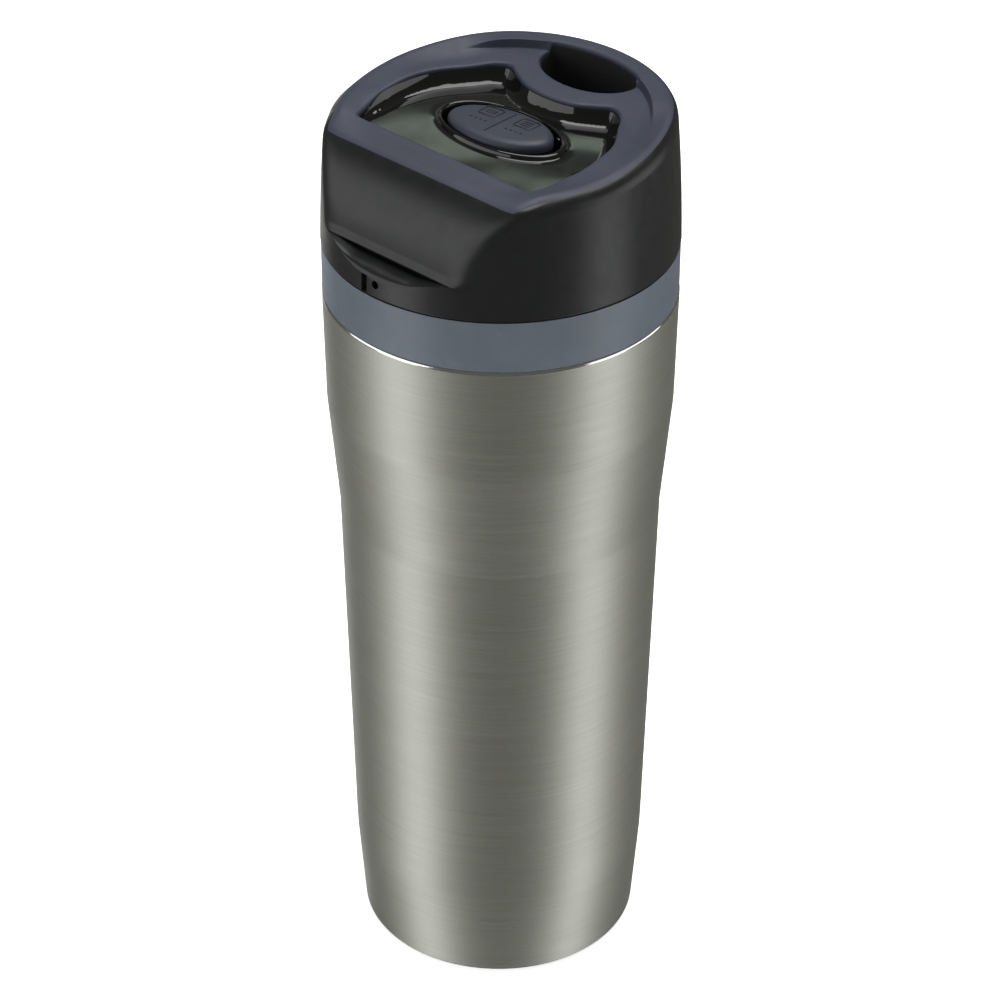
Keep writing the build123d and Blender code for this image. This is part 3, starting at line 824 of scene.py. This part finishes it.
def make_throat():
    """Dark cup under the drink hole, with the slot the drink comes up through."""
    top = top_height(drink[:, 0], drink[:, 1]) - SKIN
    normal = outwards(drink)
    floor_z = CORE_TOP + 2.0 * MM
    foot_z = CORE_TOP + 0.02 * MM

    def row(grow, z):
        return at_height(drink + normal * grow * MM, z)

    rows = [row(1.0, foot_z), row(1.0, top), row(-0.12, top - 0.05 * MM)]
    for share in (0.3, 0.6, 0.9):
        rows.append(row(-0.12 - 0.7 * share, top + (floor_z + 1.2 * MM - top) * share))
    for grow, lift in THROAT_INSETS:
        rows.append(row(grow, floor_z + lift * MM))
    half, radius = THROAT_SLOT
    t = np.linspace(-math.pi / 2, math.pi / 2, 16)
    end = np.stack([np.cos(t) * radius + half, np.sin(t) * radius], axis=1)
    slot_loop = np.concatenate([end * side for side in (1, -1)]) + [0, THROAT_SLOT_Y]
    parts = [loft(rows)]
    for outline, z in ((rows[-1][:, :2], floor_z), (rows[0][:, :2], foot_z)):
        plan, plan_faces = flat_fill(outline, [slot_loop], 1.5 * MM)
        parts.append((at_height(plan, z), plan_faces))
    parts.append(loft([at_height(slot_loop, floor_z), at_height(slot_loop, foot_z)]))
    # The throat's lightened black is painted light inside the drink hole.
    add_piece("drink_throat", *join(parts), throat_painted_light, "lid", "black_gloss", ["spout_throat"])


make_throat()


# ---------------------------------------------------------------- rocker button
rocker_frame = Matrix.Translation(Vector(PIVOT)) @ Matrix.Rotation(-TILT, 4, "Y")

# Rounded edge of the button from its foot to its flat face: inset and drop below the face, in mm
CAP_EDGE = [
    (0.0, (CAP_TOP - CAP_FOOT) / MM), (0.0, 1.5), (0.06, 1.15), (0.22, 0.82), (0.5, 0.52),
    (0.9, 0.29), (1.4, 0.14), (2.0, 0.06), (2.8, 0.02), (3.8, 0.0), (5.2, 0.0),
]


def make_button():
    """Flat-topped oval cap with a rounded edge."""
    rows = []
    for inset, drop in CAP_EDGE:
        oval = ellipse(BUTTON[0] - inset * MM, BUTTON[1] - inset * MM, 160)
        rows.append(at_height(oval, CAP_TOP - drop * MM))
    verts, faces = loft(rows)
    count = len(rows[0])
    faces.append(tuple(range((len(rows) - 1) * count, len(rows) * count)))
    faces.append(tuple(range(count))[::-1])
    placed = [rocker_frame @ Vector(v) for v in verts]
    add_piece("button_face", placed, faces, button_grey, "rocker", "button_grey", ["button_cap"])


MARK_SUNK = 0.15 * MM              # how far a mark goes into the face, and stands out of it
MARK_RAISED = 0.14 * MM
MARK_EASE = 0.05 * MM


def raised_line(points, width, closed=False):
    """Ridge with eased edges along a flat line on the button's face."""
    p = np.array(points, float) * MM
    ahead = np.roll(p, -1, axis=0) - p
    behind = p - np.roll(p, 1, axis=0)
    if not closed:
        ahead[-1], behind[0] = behind[-1], ahead[0]
    ahead /= np.linalg.norm(ahead, axis=1)[:, None]
    behind /= np.linalg.norm(behind, axis=1)[:, None]
    along = ahead + behind
    along /= np.linalg.norm(along, axis=1)[:, None]
    side = np.stack([-along[:, 1], along[:, 0]], axis=1) * width * MM / 2
    low, high = CAP_TOP - MARK_SUNK, CAP_TOP + MARK_RAISED
    shoulder = high - MARK_EASE
    section = (
        (-1.0, low), (-1.0, shoulder), (-0.6, high), (0.6, high), (1.0, shoulder), (1.0, low),
    )
    rows = [
        np.array([(*(middle + reach * hand), z) for hand, z in section])
        for middle, reach in zip(p, side)
    ]
    verts, faces = loft(rows, close_rows=closed)
    if not closed:
        count = len(rows[0])
        faces.append(tuple(range(count)))
        faces.append(tuple(range(len(verts) - count, len(verts)))[::-1])
    return verts, faces


# Corners of a mark's frame about its middle, in mm
FRAME_CORNERS = (
    (2.3, 1.5), (2.0, 1.8), (-2.0, 1.8), (-2.3, 1.5),
    (-2.3, -1.5), (-2.0, -1.8), (2.0, -1.8), (2.3, -1.5),
)


def make_button_marks():
    """Plain raised marks in place of lettering.

    They are a framed block, framed bars, a row of dots under each and a parting line. Each is
    points in mm, a width in mm, and whether the line is closed.
    """
    lines = [([(0, -4.6), (0, 5.0)], 0.26, False)]
    for hand in (-1, 1):
        x = 4.9 * hand
        lines.append(([(x + a, 2.8 + b) for a, b in FRAME_CORNERS], 0.3, True))
        for i in range(4):
            dot = [(x - 2.2 + 1.35 * i, -1.3), (x - 1.85 + 1.35 * i, -1.3)]
            lines.append((dot, 0.4, False))
    lines.append(([(-6.1, 2.8), (-3.7, 2.8)], 1.3, False))
    for y in (2.0, 2.8, 3.6):
        lines.append(([(3.7, y), (6.1, y)], 0.28, False))
    verts, faces = join([raised_line(*line) for line in lines])
    placed = [rocker_frame @ Vector(v) for v in verts]
    add_piece("button_marks", placed, faces, mark_grey, "rocker", "button_grey")


make_button()
make_button_marks()


# ---------------------------------------------------------------- stage, light and camera
FLOOR_REACH = 20.0
FLOOR_GLOW = 0.75
WORLD_COLOUR, WORLD_POWER = (0.5, 0.505, 0.44, 1), 0.23
WHITE = (1, 1, 1)

# Softboxes: name, azimuth from the camera's and elevation in degrees, distance, size, power, the
# height on the mug's axis that each faces and is placed about, and colour. The low strips light
# the steel, the upper boxes the lid's wall, and the band the well's floor.
SOFTBOXES = [
    ("left_strip", -66, 0, 1.1, (0.55, 2.1), 7.2, -1.15, WHITE),
    ("right_strip", 69, 0, 1.1, (0.55, 2.1), 6.8, -1.15, WHITE),
    ("left_upper", -72, 0, 1.1, (1.2, 0.95), 6.2, 0.395, WHITE),
    ("right_upper", 82, 0, 1.1, (1.2, 0.72), 4.3, 0.28, WHITE),
    ("back_strip", 205, 0, 1.2, (0.45, 1.6), 1.6, -0.3, WHITE),
    ("back_band", 180, 27.6, 1.6, (1.0, 0.034), 0.13, 0.198, (0.82, 1.0, 0.84)),
    ("top_box", 150, 78, 1.2, (1.1, 0.9), 16, 0.12, WHITE),
]

CAMERA_LENS, SENSOR_WIDTH = 126.0, 36.0      # mm
CAMERA_DISTANCE = 0.63759                    # from the mug's axis
CAMERA_HEIGHT = 0.52775
CAMERA_AIM = (0, 0, 0.10846)
CAMERA_ROLL = math.radians(0.2)


def make_stage():
    """Plain pale floor with a soft glow of its own, which casts no shadow."""
    corners = [(x * FLOOR_REACH, y * FLOOR_REACH, 0) for x, y in ((-1, -1), (1, -1), (1, 1), (-1, 1))]
    mesh = bpy.data.meshes.new("floor")
    mesh.from_pydata(corners, [], [(0, 1, 2, 3)])
    floor = bpy.data.objects.new("floor", mesh)
    bpy.context.scene.collection.objects.link(floor)
    made, _, shader = new_material("pale_floor", (0.97, 0.97, 0.97), 0.9)
    shader.inputs["Emission Color"].default_value = (1, 1, 1, 1)
    shader.inputs["Emission Strength"].default_value = FLOOR_GLOW
    mesh.materials.append(made)
    floor.visible_glossy = False
    floor.visible_shadow = False


def aim(obj, target):
    way = Vector(target) - obj.location
    obj.rotation_euler = way.to_track_quat("-Z", "Y").to_euler()


def add_softbox(name, azimuth, elevation, distance, size, power, height, colour):
    """Rectangular softbox that faces the mug's axis at the given height."""
    turn = math.radians(CAMERA_AZIMUTH + azimuth)
    rise = math.radians(elevation)
    light = bpy.data.lights.new(name, "AREA")
    light.shape = "RECTANGLE"
    light.size, light.size_y = size
    light.energy = power
    light.color = colour
    lamp = bpy.data.objects.new(name, light)
    lamp.location = (
        distance * math.cos(rise) * math.sin(turn),
        -distance * math.cos(rise) * math.cos(turn),
        distance * math.sin(rise) + height,
    )
    bpy.context.scene.collection.objects.link(lamp)
    aim(lamp, (0, 0, height))
    lamp.visible_camera = False


def make_lights():
    """Dim warm-green room and the softboxes."""
    world = bpy.data.worlds.new("studio")
    bpy.context.scene.world = world
    world.use_nodes = True
    background = world.node_tree.nodes["Background"]
    background.inputs["Color"].default_value = WORLD_COLOUR
    background.inputs["Strength"].default_value = WORLD_POWER
    for box in SOFTBOXES:
        add_softbox(*box)


def make_camera():
    azimuth = math.radians(CAMERA_AZIMUTH)
    camera = bpy.data.cameras.new("camera")
    camera.lens = CAMERA_LENS
    camera.sensor_width = SENSOR_WIDTH
    camera.clip_start = 0.01
    holder = bpy.data.objects.new("camera", camera)
    holder.location = (
        CAMERA_DISTANCE * math.sin(azimuth), -CAMERA_DISTANCE * math.cos(azimuth), CAMERA_HEIGHT,
    )
    bpy.context.scene.collection.objects.link(holder)
    aim(holder, CAMERA_AIM)
    holder.rotation_euler.rotate_axis("Z", CAMERA_ROLL)
    bpy.context.scene.camera = holder


make_stage()
make_lights()
make_camera()
bpy.context.scene.view_settings.view_transform = "Standard"
